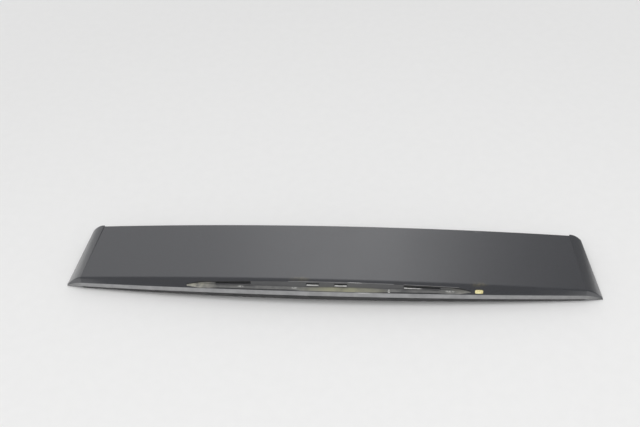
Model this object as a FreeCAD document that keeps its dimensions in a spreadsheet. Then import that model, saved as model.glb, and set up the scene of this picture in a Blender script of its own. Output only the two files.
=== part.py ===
import FreeCAD, Part
import os
import math
import Sketcher

# A tailgate spoiler: a painted outer skin with an empty brake lamp recess, bonded to a black inner
# shell that carries the fixing studs, their foam washers and the foam seals.
# Frame: +X along the span, +Y forward on the car, +Z up, origin under the middle of the part.
# Every long edge is a parabola over the span: its place at the middle plus a bow in Y and a drop in Z
# that both grow with the square of the distance from the middle.

SIZES = [
    ("half_span", 590, "middle to trailing tip"),
    ("front_edge", 80.3, "deck front edge ahead of the origin, at the middle"),
    ("front_bow", 15.5, "forward sweep of the front edge at the tips"),
    ("front_height", 74, "deck front edge above the table, at the middle"),
    ("front_arch", 34, "drop of the front edge at the tips"),
    ("deck_depth", 159.9, "front edge to crease, at the middle"),
    ("deck_fall", 3, "drop from the front edge to the crease"),
    ("crease_bow", 20, "forward sweep of the crease at the tips"),
    ("crease_arch", 38, "drop of the crease at the tips"),
    ("crease_round", 5, "radius along the crease"),
    ("band_run", 15.4, "crease to foot of the lamp band, level"),
    ("band_drop", 24, "crease to foot of the lamp band, upright"),
    ("foot_bow", 33, "forward sweep of the band's foot at the tips"),
    ("foot_arch", 27, "drop of the band's foot at the tips"),
    ("lip_run", 3, "foot of the band to the lip, level"),
    ("lip_drop", 10, "foot of the band to the lip, upright"),
    ("lip_bow", 36.5, "forward sweep of the lip at the tips"),
    ("lip_arch", 28, "drop of the lip at the tips"),
    ("rim_run", 2.5, "undercut of the inner shell's rim below the lip"),
    ("rim_drop", 14, "depth of the inner shell's rim below the lip"),
    ("rim_bow", 37.5, "forward sweep of the rim at the tips"),
    ("rim_arch", 21, "drop of the rim at the tips"),
    ("flange_depth", 16, "front flange of the skin"),
    ("skin_wall", 3, "wall of the outer skin"),
    ("bond_gap", 0.3, "glue line between skin and inner shell"),
    ("open_margin", 6, "how far a cutting form reaches past an open side"),
    ("wing_front", 57, "tip back to the end wing at the front"),
    ("wing_rear", 40, "tip back to the end wing at the rear"),
    ("wing_lead", 5, "end wing ahead of the deck's front edge"),
    ("wing_step", 2, "end wing above the deck at the front"),
    ("wing_corner", 30, "tip back to the wing's front outer corner"),
    ("wing_corner_back", 6, "outer corner behind the wing's inner front corner"),
    ("wing_corner_height", 35, "wing's front outer corner above the table"),
    ("wing_flange", 17, "depth of the wing's front face at the corner"),
    ("wing_crown", 3, "bulge of the wing half way to its end"),
    ("tip_forward", 42, "trailing tip ahead of the lip at the middle"),
    ("tip_height", 5, "height of the blunt trailing tip"),
    ("tip_foot", 3.5, "height of the band's foot at the tip"),
    ("tip_lip", 2, "height of the lip at the tip"),
    ("tip_depth", 2, "depth of the blunt trailing tip"),
    ("tip_solid", 12, "length of the tip that is not hollow"),
    ("recess_half", 280, "middle to the full section's end of the lamp recess"),
    ("recess_taper", 25, "length of each pointed end of the recess"),
    ("recess_margin", 6.5, "band left above the recess, at the middle"),
    ("recess_arch", 11, "drop of the recess's roof below the crease that the tips would add"),
    ("recess_lip", 1, "band left below the recess"),
    ("recess_shelf", 11, "depth of the recess's floor"),
    ("recess_roof", 3, "depth of the recess's roof"),
    ("recess_point", 2, "height and depth of the recess at its pointed ends"),
    ("recess_point_rise", 3, "recess's floor up to its pointed ends"),
    ("slot_height", 4, "lamp clip slots"),
    ("slot_below_roof", 5.8, "recess roof to the slots"),
    ("ledge_reach", 3, "ledge under each slot, out of the recess's back wall"),
    ("ledge_thick", 1.8, "ledge under each slot"),
    ("ledge_end", 1, "slot's end to its ledge's end"),
    ("long_slot", 78, "outer clip slots"),
    ("long_slot_place", 203, "middle to the outer clip slots"),
    ("short_slot", 28, "inner clip slots"),
    ("short_slot_place", 30, "middle to the inner clip slots"),
    ("shell_wall", 2.5, "wall of the inner shell"),
    ("rim_inset", 0.8, "rim behind the lip"),
    ("tongue", 5, "bonding tongue behind the lip"),
    ("land_height", 42, "mounting land above the table, at the middle"),
    ("land_arch", 34, "drop of the mounting land at the tips"),
    ("land_rear", 6, "rear edge of the mounting land ahead of the origin"),
    ("step_foot", 22, "foot of the step behind the mounting land, behind the origin"),
    ("belly_rise", 3, "underside's rise from the rim to the step"),
    ("land_front_gap", 8, "mounting land's front edge to the skin's flange"),
    ("land_front_rise", 7, "sloped front edge of the mounting land"),
    ("stud_line", 42, "studs ahead of the origin"),
    ("inner_stud", 120, "middle to the inner studs"),
    ("middle_stud", 280, "middle to the middle studs"),
    ("outer_stud", 160, "tip back to the outer studs"),
    ("stud_radius", 3, "stud's thread"),
    ("shoulder_radius", 3.4, "stud's plain shoulder"),
    ("shoulder_reach", 4.4, "shoulder below the stud's seat"),
    ("stud_reach", 21.9, "stud below its seat"),
    ("stud_tip", 1, "bevel at the stud's end"),
    ("stud_head_radius", 5.8, "corners of the stud's hexagon head inside the shell"),
    ("stud_head", 3, "height of the stud's head"),
    ("stud_fit", 0.15, "stud's clearance in its boss"),
    ("boss_radius", 13, "stud boss"),
    ("boss_drop", 2, "stud boss below the mounting land"),
    ("boss_rise", 3, "stud boss above the shell's wall"),
    ("washer_radius", 12, "foam washer"),
    ("washer_thick", 4, "foam washer"),
    ("washer_fit", 0.5, "foam washer's clearance round the stud"),
    ("foam_gap", 0.2, "glue line above the foam"),
    ("seal_end", 90, "tip back to each end of the front seal"),
    ("seal_width", 9, "front seal"),
    ("seal_thick", 5, "front seal"),
    ("seal_setback", 2, "front seal behind the land's front edge"),
    ("pad_end", 83, "tip back to the far side of the end pads"),
    ("pad_length", 45, "end pads along the span"),
    ("pad_width", 26, "end pads"),
    ("pad_thick", 8, "end pads"),
    ("cable_hole", 14, "radius of the wiring hole"),
    ("peg_place", 205, "middle to the locating pegs"),
    ("peg_radius", 4, "locating pegs"),
    ("peg_boss_radius", 8, "flat seat round each locating peg"),
    ("peg_reach", 11, "locating pegs below their seat"),
    ("peg_point", 2, "bevel of the locating pegs"),
]

# Places of the cross-sections as parts of the half span
STATIONS = (-0.7, -0.35, 0.0, 0.35, 0.7)
SIDES = ((-1, "left"), (1, "right"))
ACROSS = ("x", "y", "z")
HEAD_SIDES = 6

doc = FreeCAD.newDocument("tailgate_spoiler")
sheet = doc.addObject("Spreadsheet::Sheet", "sizes")
for line, (alias, amount, note) in enumerate(SIZES, 1):
    sheet.set(f"A{line}", note)
    sheet.set(f"B{line}", str(amount))
    sheet.setAlias(f"B{line}", alias)
doc.recompute()


class Measure:
    """A length worked out from the sheet: its number now, and the expression that keeps it tied."""

    def __init__(self, number, text):
        self.number = number
        self.text = text

    def __add__(self, other):
        other = measure(other)
        return Measure(self.number + other.number, f"({self.text} + {other.text})")

    def __sub__(self, other):
        other = measure(other)
        return Measure(self.number - other.number, f"({self.text} - {other.text})")

    def __mul__(self, other):
        other = measure(other)
        return Measure(self.number * other.number, f"({self.text} * {other.text})")

    def __truediv__(self, other):
        other = measure(other)
        return Measure(self.number / other.number, f"({self.text} / {other.text})")

    def __neg__(self):
        return Measure(-self.number, f"(0 - {self.text})")

    def root(self):
        return Measure(math.sqrt(self.number), f"sqrt({self.text})")

    def slope_angle(self):
        return Measure(math.degrees(math.atan(self.number)), f"atan({self.text})")


def measure(value):
    return value if isinstance(value, Measure) else Measure(float(value), repr(float(value)))


def size(alias):
    return Measure(float(sheet.get(alias)), f"sizes.{alias}")


# Edge curves, each as (Y, Z) at a part of the half span
def parabola(at_middle, growth, part):
    return at_middle + growth * part * part


def part_at(place):
    return place / size("half_span")


def from_tip(alias):
    """A place along the span, measured back from the trailing tip."""
    return size("half_span") - size(alias)


def front_edge(part):
    y = parabola(size("front_edge"), size("front_bow"), part)
    return y, parabola(size("front_height"), -size("front_arch"), part)


def crease(part):
    y_middle = size("front_edge") - size("deck_depth")
    z_middle = size("front_height") - size("deck_fall")
    return parabola(y_middle, size("crease_bow"), part), parabola(z_middle, -size("crease_arch"), part)


def band_foot(part):
    y_middle, z_middle = crease(measure(0))
    y = parabola(y_middle - size("band_run"), size("foot_bow"), part)
    return y, parabola(z_middle - size("band_drop"), -size("foot_arch"), part)


def lip(part):
    y_middle, z_middle = band_foot(measure(0))
    y = parabola(y_middle - size("lip_run"), size("lip_bow"), part)
    return y, parabola(z_middle - size("lip_drop"), -size("lip_arch"), part)


def rim(part):
    y_middle, z_middle = lip(measure(0))
    y = parabola(y_middle + size("rim_run"), size("rim_bow"), part)
    return y, parabola(z_middle - size("rim_drop"), -size("rim_arch"), part)


def land_level(part):
    return parabola(size("land_height"), -size("land_arch"), part)


def shell_front(part):
    return front_edge(part)[0] - size("skin_wall") - size("bond_gap")


def land_front(part):
    return shell_front(part) - size("land_front_gap")


# End wings: the slanted planes at their inner and outer ends
def wing_front_y():
    return front_edge(part_at(from_tip("wing_front")))[0] + size("wing_lead")


def wing_corner_y():
    return wing_front_y() - size("wing_corner_back")


def tip_y():
    return lip(measure(0))[0] + size("tip_forward")


class Plane:
    """A sketch plane across the span: its X at Y = 0, and the X it loses for each mm forward."""

    def __init__(self, place, slant=None):
        self.place = measure(place)
        self.slant = slant

    def stretch(self):
        return measure(1) if self.slant is None else (self.slant * self.slant + 1).root()


def wing_plane(side, outward=0):
    front = wing_front_y()
    rear = crease(part_at(from_tip("wing_rear")))[0]
    slant = (size("wing_front") - size("wing_rear")) / (front - rear)
    return Plane((from_tip("wing_front") + slant * front + outward) * side, slant * side)


def tip_plane(side, outward=0):
    corner = wing_corner_y()
    slant = size("wing_corner") / (corner - tip_y())
    return Plane((from_tip("wing_corner") + slant * corner + outward) * side, slant * side)


def span_planes(outward=0):
    straight = [(Plane(size("half_span") * part), measure(part), measure(part)) for part in STATIONS]
    front, rear = part_at(from_tip("wing_front")), part_at(from_tip("wing_rear"))
    return [(wing_plane(-1, outward), front, rear), *straight, (wing_plane(1, outward), front, rear)]


# Sketches and features
def new_body(label):
    body = doc.addObject("PartDesign::Body", label)
    body.Label = label
    return body


def origin_plane(body, role):
    return next(item for item in body.Origin.OriginFeatures if item.Role == role)


def bind_point(sketch, geometry, corner, place, tag):
    for axis, value in zip(("DistanceX", "DistanceY"), place):
        name = f"{tag}_{axis[-1].lower()}"
        index = sketch.addConstraint(Sketcher.Constraint(axis, geometry, corner, value.number))
        sketch.renameConstraint(index, name)
        sketch.setExpression(f"Constraints.{name}", value.text)


def rounding(before, corner, after, radius):
    """Both tangent points and the centre of the arc that rounds a corner."""
    to_before = (before - corner).normalize()
    to_after = (after - corner).normalize()
    half = to_before.getAngle(to_after) / 2
    setback = radius / math.tan(half)
    centre = corner + (to_before + to_after).normalize() * (radius / math.sin(half))
    return corner + to_before * setback, corner + to_after * setback, centre


def add_outline(sketch, corners, tag="corner"):
    """A closed outline, anticlockwise. Each corner is (across, up) or (across, up, radius)."""
    spots = [FreeCAD.Vector(corner[0].number, corner[1].number, 0) for corner in corners]
    count = len(corners)
    starts, ends, centres = list(spots), list(spots), {}
    for index, corner in enumerate(corners):
        if len(corner) == 3:
            ends[index], starts[index], centres[index] = rounding(
                spots[index - 1], spots[index], spots[(index + 1) % count], corner[2].number)
    sides = [sketch.addGeometry(Part.LineSegment(starts[index], ends[(index + 1) % count]), False)
             for index in range(count)]
    for index, corner in enumerate(corners):
        before, after, name = sides[index - 1], sides[index], f"{tag}{index}"
        if index not in centres:
            sketch.addConstraint(Sketcher.Constraint("Coincident", before, 2, after, 1))
            bind_point(sketch, after, 1, corner, name)
            continue
        entry, leave = ends[index] - centres[index], starts[index] - centres[index]
        circle = Part.Circle(centres[index], FreeCAD.Vector(0, 0, 1), corner[2].number)
        turn = Part.ArcOfCircle(circle, math.atan2(entry.y, entry.x), math.atan2(leave.y, leave.x))
        arc = sketch.addGeometry(turn, False)
        peak = sketch.addGeometry(Part.Point(spots[index]), True)
        bind_point(sketch, peak, 1, corner[:2], name)
        sketch.addConstraint(Sketcher.Constraint("PointOnObject", peak, 1, before))
        sketch.addConstraint(Sketcher.Constraint("PointOnObject", peak, 1, after))
        sketch.addConstraint(Sketcher.Constraint("Tangent", before, 2, arc, 1))
        sketch.addConstraint(Sketcher.Constraint("Tangent", arc, 2, after, 1))
        radius = sketch.addConstraint(Sketcher.Constraint("Radius", arc, corner[2].number))
        sketch.renameConstraint(radius, f"{name}_round")
        sketch.setExpression(f"Constraints.{name}_round", corner[2].text)


def section(body, name, plane, corners):
    """A closed section across the span, its corners given in the part's own Y and Z."""
    sketch = body.newObject("Sketcher::SketchObject", name)
    sketch.AttachmentSupport = [(origin_plane(body, "YZ_Plane"), "")]
    sketch.MapMode = "FlatFace"
    spot = FreeCAD.Vector(0, 0, plane.place.number)
    if plane.slant is None:
        sketch.AttachmentOffset = FreeCAD.Placement(spot, FreeCAD.Rotation())
    else:
        angle = plane.slant.slope_angle()
        turn = FreeCAD.Rotation(FreeCAD.Vector(0, 1, 0), angle.number)
        sketch.AttachmentOffset = FreeCAD.Placement(spot, turn)
        sketch.setExpression("AttachmentOffset.Rotation.Angle", angle.text)
    sketch.setExpression("AttachmentOffset.Base.z", plane.place.text)
    stretch = plane.stretch()
    add_outline(sketch, [(corner[0] * stretch, *corner[1:]) for corner in corners])
    return sketch


def loft(body, name, kind, sections, ruled=False):
    feature = body.newObject(f"PartDesign::{kind}Loft", name)
    feature.Profile = sections[0]
    feature.Sections = sections[1:]
    feature.Ruled = ruled
    doc.recompute()


def place_at(item, place):
    for axis, value in zip(ACROSS, place):
        setattr(item.Placement.Base, axis, measure(value).number)
        item.setExpression(f"Placement.Base.{axis}", measure(value).text)


def round_form(body, name, kind, place, height, radius, top_radius=None):
    """An upright round boss or hole as a feature of a body."""
    feature = body.newObject(f"PartDesign::{kind}", name)
    place_at(feature, place)
    feature.setExpression("Height", height.text)
    if top_radius is None:
        feature.setExpression("Radius", radius.text)
    else:
        feature.setExpression("Radius1", radius.text)
        feature.setExpression("Radius2", top_radius.text)
    doc.recompute()


def round_solid(name, place, height, radius, top_radius=None):
    """An upright round solid of its own."""
    item = doc.addObject("Part::Cylinder" if top_radius is None else "Part::Cone", name)
    place_at(item, place)
    item.setExpression("Height", height.text)
    if top_radius is None:
        item.setExpression("Radius", radius.text)
    else:
        item.setExpression("Radius1", radius.text)
        item.setExpression("Radius2", top_radius.text)
    return item


def hexagon_solid(name, place, height, radius):
    """An upright hexagon head of its own."""
    item = doc.addObject("Part::Prism", name)
    place_at(item, place)
    item.Polygon = HEAD_SIDES
    item.setExpression("Height", height.text)
    item.setExpression("Circumradius", radius.text)
    return item


# Outer skin
def skin_outline(front, rear):
    front_y, front_z = front_edge(front)
    return [
        (front_y, front_z),
        (*crease(rear), size("crease_round")),
        band_foot(rear),
        lip(rear),
        (front_y, front_z - size("flange_depth")),
    ]


def skin_hollow(front, rear):
    wall, past = size("skin_wall"), size("open_margin")
    front_y, front_z = front_edge(front)
    crease_y, crease_z = crease(rear)
    foot_y, foot_z = band_foot(rear)
    lip_y, lip_z = lip(rear)
    return [
        (front_y - wall, front_z - wall),
        (crease_y + wall, crease_z - wall),
        (foot_y + wall, foot_z),
        (lip_y + wall, lip_z),
        (lip_y + wall, lip_z - past),
        (front_y - wall, front_z - size("flange_depth") - past),
    ]


def wing_root_outline():
    rear = part_at(from_tip("wing_rear"))
    front_y, deck_z = wing_front_y(), front_edge(part_at(from_tip("wing_front")))[1]
    return [
        (front_y, deck_z + size("wing_step")),
        crease(rear),
        band_foot(rear),
        lip(rear),
        rim(rear),
        (front_y, deck_z - size("flange_depth")),
    ]


def wing_root_hollow():
    wall, past = size("skin_wall"), size("open_margin")
    top, ridge, foot, edge, base, front = wing_root_outline()
    return [
        (top[0] - wall, top[1] - size("wing_step") - wall),
        (ridge[0] + wall, ridge[1] - wall),
        (foot[0] + wall, foot[1]),
        (edge[0] + wall, edge[1]),
        (base[0] + wall, base[1] - past),
        (front[0] - wall, front[1] - past),
    ]


def wing_end_outline():
    corner_y, corner_z = wing_corner_y(), size("wing_corner_height")
    depth = size("tip_depth")
    return [
        (corner_y, corner_z),
        (tip_y() + depth, size("tip_height")),
        (tip_y() + depth / 2, size("tip_foot")),
        (tip_y(), size("tip_lip")),
        (tip_y() + depth / 2, measure(0)),
        (corner_y, corner_z - size("wing_flange")),
    ]


def wing_middle_outline():
    """Half way between the wing's ends, bulged upward and forward so that the wing turns down softly."""
    crown = size("wing_crown")
    halves = [((root[0] + end[0]) / 2, (root[1] + end[1]) / 2)
              for root, end in zip(wing_root_outline(), wing_end_outline())]
    top, ridge, foot, edge, base, front = halves
    return [
        (top[0] + crown / 2, top[1] + crown),
        (ridge[0], ridge[1] + crown),
        (foot[0], foot[1] + crown / 2),
        edge,
        base,
        (front[0] + crown / 2, front[1]),
    ]


def wing_middle_plane(side):
    root, end = wing_plane(side), tip_plane(side)
    return Plane((root.place + end.place) / 2, (root.slant + end.slant) / 2)


def wing_end_hollow():
    wall, past = size("skin_wall"), size("open_margin")
    corner_y, corner_z = wing_corner_y(), size("wing_corner_height")
    inside = tip_y() + size("tip_solid")
    return [
        (corner_y - wall, corner_z - wall),
        (inside, size("tip_height")),
        (inside, size("tip_foot")),
        (inside, size("tip_lip")),
        (inside, -past),
        (corner_y - wall, corner_z - size("wing_flange") - past),
    ]


def recess_roof(part):
    """Where the recess's roof meets the sloping band."""
    crease_y, crease_z = crease(part)
    lean = size("band_run") / size("band_drop")
    drop = parabola(size("recess_margin"), size("recess_arch"), part)
    return crease_y - drop * lean, crease_z - drop


def recess_cut(part):
    roof_y, roof_z = recess_roof(part)
    foot_y, foot_z = band_foot(part)
    floor_z, past = foot_z + size("recess_lip"), size("open_margin")
    return [
        (roof_y + size("recess_roof"), roof_z),
        (roof_y - past, roof_z),
        (foot_y - past, floor_z),
        (foot_y + size("recess_shelf"), floor_z),
    ]


def recess_pocket(part):
    """The moulded wall round the recess; its outer side lies within the band's own wall."""
    wall = size("skin_wall")
    roof_y, roof_z = recess_roof(part)
    foot_y, foot_z = band_foot(part)
    floor_z = foot_z + size("recess_lip")
    lean = size("band_run") / size("band_drop")
    return [
        (roof_y + size("recess_roof") + wall, roof_z + wall),
        (roof_y + wall * lean + wall / 2, roof_z + wall),
        (foot_y + wall / 2, floor_z - wall),
        (foot_y + size("recess_shelf") + wall, floor_z - wall),
    ]


def recess_point_edges(part):
    """Low and high edge of the recess's pointed end and the place of its back."""
    foot_y, foot_z = band_foot(part)
    above = size("recess_lip") + size("recess_point_rise")
    back = foot_y + above * size("band_run") / size("band_drop") + size("recess_point")
    return foot_z + above, foot_z + above + size("recess_point"), back


def recess_point_cut(part):
    foot_y, foot_z = band_foot(part)
    low, high, back = recess_point_edges(part)
    return [
        (back, high),
        (foot_y - size("open_margin"), high),
        (foot_y - size("open_margin"), low),
        (back, low),
    ]


def recess_point_pocket(part):
    foot_y, foot_z = band_foot(part)
    low, high, back = recess_point_edges(part)
    lean, wall = size("band_run") / size("band_drop"), size("skin_wall")
    return [
        (back + wall, high + wall),
        (foot_y + (high + wall - foot_z) * lean + wall / 2, high + wall),
        (foot_y + (low - wall - foot_z) * lean + wall / 2, low - wall),
        (back + wall, low - wall),
    ]


def recess_lofts(body, name, kind, across, at_point, extra):
    half = size("recess_half")
    places = [-half, -half / 2, measure(0), half / 2, half]
    loft(body, name, kind, [section(body, f"{name}_{index}", Plane(place), across(part_at(place)))
                            for index, place in enumerate(places)])
    reach = half + size("recess_taper") + extra
    for side, tag in SIDES:
        root = section(body, f"{name}_{tag}_root", Plane(half * side), across(part_at(half)))
        point = section(body, f"{name}_{tag}_point", Plane(reach * side), at_point(part_at(reach)))
        loft(body, f"{name}_{tag}", kind, [root, point], ruled=True)


def ledge_section(part):
    """A ledge on the recess's back wall; the slot's cut trims its top."""
    roof_y, roof_z = recess_roof(part)
    foot_y, foot_z = band_foot(part)
    down = size("slot_below_roof") + size("slot_height")
    wall_top, wall_foot = roof_y + size("recess_roof"), foot_y + size("recess_shelf")
    wall_y = wall_top + (wall_foot - wall_top) * down / (roof_z - foot_z - size("recess_lip"))
    top, buried = roof_z - down + size("ledge_thick") / 4, size("skin_wall") / 2
    return [
        (wall_y + buried, top),
        (wall_y - size("ledge_reach"), top),
        (wall_y - size("ledge_reach"), roof_z - down - size("ledge_thick")),
        (wall_y + buried, roof_z - down - size("ledge_thick")),
    ]


def clip_ledges(body):
    for kind in ("long_slot", "short_slot"):
        for side, tag in SIDES:
            middle, half = size(f"{kind}_place") * side, size(kind) / 2 - size("ledge_end")
            ends = [section(body, f"{kind}_ledge_{tag}_{index}", Plane(place), ledge_section(part_at(place)))
                    for index, place in enumerate((middle - half, middle + half))]
            loft(body, f"{kind}_ledge_{tag}", "Additive", ends, ruled=True)


def clip_slots(body):
    """Slots for the lamp's clips, cut forward through the recess's back wall."""
    sketch = body.newObject("Sketcher::SketchObject", "clip_slots")
    sketch.AttachmentSupport = [(origin_plane(body, "XZ_Plane"), "")]
    sketch.MapMode = "FlatFace"
    start = size("recess_margin") - recess_roof(measure(0))[0]
    sketch.AttachmentOffset = FreeCAD.Placement(FreeCAD.Vector(0, 0, start.number), FreeCAD.Rotation())
    sketch.setExpression("AttachmentOffset.Base.z", start.text)
    for kind in ("long_slot", "short_slot"):
        for side, tag in SIDES:
            middle, half = size(f"{kind}_place") * side, size(kind) / 2
            ends = (middle + half, middle - half)
            tops = [recess_roof(part_at(end))[1] - size("slot_below_roof") for end in ends]
            upper = list(zip(ends, tops))
            lower = [(end, top - size("slot_height")) for end, top in zip(ends, tops)]
            add_outline(sketch, [*upper, *reversed(lower)], f"{kind}_{tag}")
    cut = body.newObject("PartDesign::Pocket", "clip_slot_cut")
    cut.Profile = sketch
    depth = size("recess_margin") + size("recess_shelf") + size("skin_wall") + size("open_margin")
    cut.setExpression("Length", depth.text)
    doc.recompute()
    print("clip slots removed", round(cut.BaseFeature.Shape.Volume - cut.Shape.Volume), "mm3")


def build_upper_skin():
    body = new_body("upper_skin")
    planes = span_planes()
    loft(body, "skin_form", "Additive",
         [section(body, f"skin_outline_{index}", plane, skin_outline(front, rear))
          for index, (plane, front, rear) in enumerate(planes)])
    loft(body, "skin_hollow", "Subtractive",
         [section(body, f"skin_hollow_{index}", plane, skin_hollow(front, rear))
          for index, (plane, front, rear) in enumerate(planes)])
    wall = size("skin_wall")
    for side, tag in SIDES:
        root = section(body, f"wing_{tag}_root", wing_plane(side), wing_root_outline())
        middle = section(body, f"wing_{tag}_middle", wing_middle_plane(side), wing_middle_outline())
        end = section(body, f"wing_{tag}_end", tip_plane(side), wing_end_outline())
        loft(body, f"wing_{tag}", "Additive", [root, middle, end])
        root = section(body, f"wing_hollow_{tag}_root", wing_plane(side, wall), wing_root_hollow())
        end = section(body, f"wing_hollow_{tag}_end", tip_plane(side, -wall), wing_end_hollow())
        loft(body, f"wing_hollow_{tag}", "Subtractive", [root, end], ruled=True)
    recess_lofts(body, "recess_pocket", "Additive", recess_pocket, recess_point_pocket, wall)
    recess_lofts(body, "lamp_recess", "Subtractive", recess_cut, recess_point_cut, 0)
    clip_ledges(body)
    clip_slots(body)
    return body


# Inner shell
def shell_outline(front, rear):
    wall, gap = size("skin_wall"), size("bond_gap")
    foot_y = band_foot(rear)[0]
    lip_y, lip_z = lip(rear)
    rim_y, rim_z = rim(rear)
    tongue_y = lip_y + wall + gap
    tongue_lean = (foot_y - lip_y) * size("tongue") / size("lip_drop")
    return [
        (shell_front(front), front_edge(front)[1] - wall - gap),
        (tongue_y + tongue_lean, lip_z + size("tongue")),
        (tongue_y, lip_z - gap),
        (lip_y + size("rim_inset"), lip_z - gap),
        (rim_y, rim_z),
        (-size("step_foot"), rim_z + size("belly_rise")),
        (size("land_rear"), land_level(front)),
        (land_front(front), land_level(front)),
        (shell_front(front), land_level(front) + size("land_front_rise")),
    ]


def shell_hollow(front, rear):
    wall, past = size("shell_wall"), size("open_margin")
    top, tongue, seat, _, base, step, land, edge, front_foot = shell_outline(front, rear)
    return [
        (top[0] - wall, top[1] + past),
        (tongue[0] + wall, tongue[1] + past),
        (tongue[0] + wall, tongue[1]),
        (seat[0] + wall, seat[1]),
        (base[0] + size("skin_wall") + wall, base[1] + wall),
        (step[0] - wall / 2, step[1] + wall),
        (land[0] - wall / 2, land[1] + wall),
        (edge[0] - wall / 2, edge[1] + wall),
        (front_foot[0] - wall, front_foot[1] + wall / 2),
    ]


def stud_places():
    """Middle of each stud's seat, the boss's flat lower face."""
    places = {"inner": size("inner_stud"), "middle": size("middle_stud"), "outer": from_tip("outer_stud")}
    for kind, place in places.items():
        for side, tag in SIDES:
            seat = land_level(part_at(place)) - size("boss_drop")
            yield f"{tag}_{kind}", place * side, size("stud_line"), seat


def boss_height():
    return size("boss_drop") + size("shell_wall") + size("boss_rise")


def build_lower_shell():
    body = new_body("lower_shell")
    ends_gap = -size("bond_gap")
    loft(body, "shell_form", "Additive",
         [section(body, f"shell_outline_{index}", plane, shell_outline(front, rear))
          for index, (plane, front, rear) in enumerate(span_planes(ends_gap))])
    loft(body, "shell_hollow", "Subtractive",
         [section(body, f"shell_hollow_{index}", plane, shell_hollow(front, rear))
          for index, (plane, front, rear) in enumerate(span_planes(ends_gap - size("shell_wall")))])
    for tag, x, y, seat in stud_places():
        round_form(body, f"boss_{tag}", "AdditiveCylinder", (x, y, seat), boss_height(), size("boss_radius"))
        round_form(body, f"stud_hole_{tag}", "SubtractiveCylinder", (x, y, seat), boss_height(),
                   size("shoulder_radius") + size("stud_fit"))
    for side, tag in SIDES:
        x = size("peg_place") * side
        seat = land_level(part_at(size("peg_place"))) - size("boss_drop")
        point_z = seat - size("peg_reach")
        round_form(body, f"peg_boss_{tag}", "AdditiveCylinder", (x, size("stud_line"), seat),
                   size("boss_drop") + size("shell_wall"), size("peg_boss_radius"))
        round_form(body, f"peg_point_{tag}", "AdditiveCone", (x, size("stud_line"), point_z),
                   size("peg_point"), size("peg_radius") - size("peg_point"), size("peg_radius"))
        round_form(body, f"peg_{tag}", "AdditiveCylinder",
                   (x, size("stud_line"), point_z + size("peg_point")),
                   size("peg_reach") - size("peg_point") + size("boss_drop"), size("peg_radius"))
    round_form(body, "wiring_hole", "SubtractiveCylinder",
               (measure(0), size("stud_line"), size("land_height") - size("open_margin")),
               size("shell_wall") + size("open_margin") * 2, size("cable_hole"))
    return body


# Fixings and foam
def build_studs():
    studs = []
    for tag, x, y, seat in stud_places():
        end = seat - size("stud_reach")
        thread_height = size("stud_reach") - size("stud_tip") - size("shoulder_reach")
        point = round_solid(f"stud_point_{tag}", (x, y, end), size("stud_tip"),
                            size("stud_radius") - size("stud_tip"), size("stud_radius"))
        thread = round_solid(f"stud_thread_{tag}", (x, y, end + size("stud_tip")), thread_height,
                             size("stud_radius"))
        shoulder = round_solid(f"stud_shoulder_{tag}", (x, y, seat - size("shoulder_reach")),
                               size("shoulder_reach") + boss_height(), size("shoulder_radius"))
        head = hexagon_solid(f"stud_head_{tag}", (x, y, seat + boss_height()), size("stud_head"),
                             size("stud_head_radius"))
        stud = doc.addObject("Part::MultiFuse", f"stud_{tag}")
        stud.Shapes = [point, thread, shoulder, head]
        studs.append(stud)
    group = doc.addObject("Part::Compound", "mounting_studs")
    group.Label = "mounting_studs"
    group.Links = studs
    return group


def build_washers():
    for tag, x, y, seat in stud_places():
        foot = seat - size("foam_gap") - size("washer_thick")
        disc = round_solid(f"washer_disc_{tag}", (x, y, foot), size("washer_thick"), size("washer_radius"))
        bore = round_solid(f"washer_bore_{tag}", (x, y, foot), size("washer_thick"),
                           size("shoulder_radius") + size("washer_fit"))
        washer = doc.addObject("Part::Cut", f"foam_washer_{tag}")
        washer.Label = f"foam_washer_{tag}"
        washer.Base, washer.Tool = disc, bore
        yield washer


def foam_section(part, rear_y, front_y, thick):
    top = land_level(part) - size("foam_gap")
    return [(front_y, top), (rear_y, top), (rear_y, top - thick), (front_y, top - thick)]


def build_front_seal():
    body = new_body("front_seal")
    half = from_tip("seal_end")
    sections = []
    for index, place in enumerate([-half, -half / 2, measure(0), half / 2, half]):
        front_y = land_front(part_at(place)) - size("seal_setback")
        corners = foam_section(part_at(place), front_y - size("seal_width"), front_y, size("seal_thick"))
        sections.append(section(body, f"seal_{index}", Plane(place), corners))
    loft(body, "seal_form", "Additive", sections)
    return body


def build_end_pads():
    rear_y, front_y = size("stud_line") - size("pad_width"), size("stud_line")
    far = from_tip("pad_end")
    for side, tag in SIDES:
        body = new_body(f"end_pad_{tag}")
        sections = []
        for index, along in enumerate((far - size("pad_length"), far)):
            corners = foam_section(part_at(along), rear_y, front_y, size("pad_thick"))
            sections.append(section(body, f"pad_{tag}_{index}", Plane(along * side), corners))
        loft(body, f"pad_{tag}_form", "Additive", sections, ruled=True)
        yield body


nodes = [build_upper_skin(), build_lower_shell(), build_studs(), *build_washers(), build_front_seal(),
         *build_end_pads()]
doc.recompute()

faults = [item.Label for item in doc.Objects if {"Invalid", "Error"} & set(item.State)]
faults += [node.Label for node in nodes if node.Shape.isNull() or not node.Shape.isValid()]
if faults:
    raise RuntimeError(f"these did not build: {faults}")
os.makedirs("parts", exist_ok=True)
for node in nodes:
    node.Shape.exportStep(f"parts/{node.Label}.step")
    print(node.Label, len(node.Shape.Solids), "solid(s),", round(node.Shape.Volume), "mm3")
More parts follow.
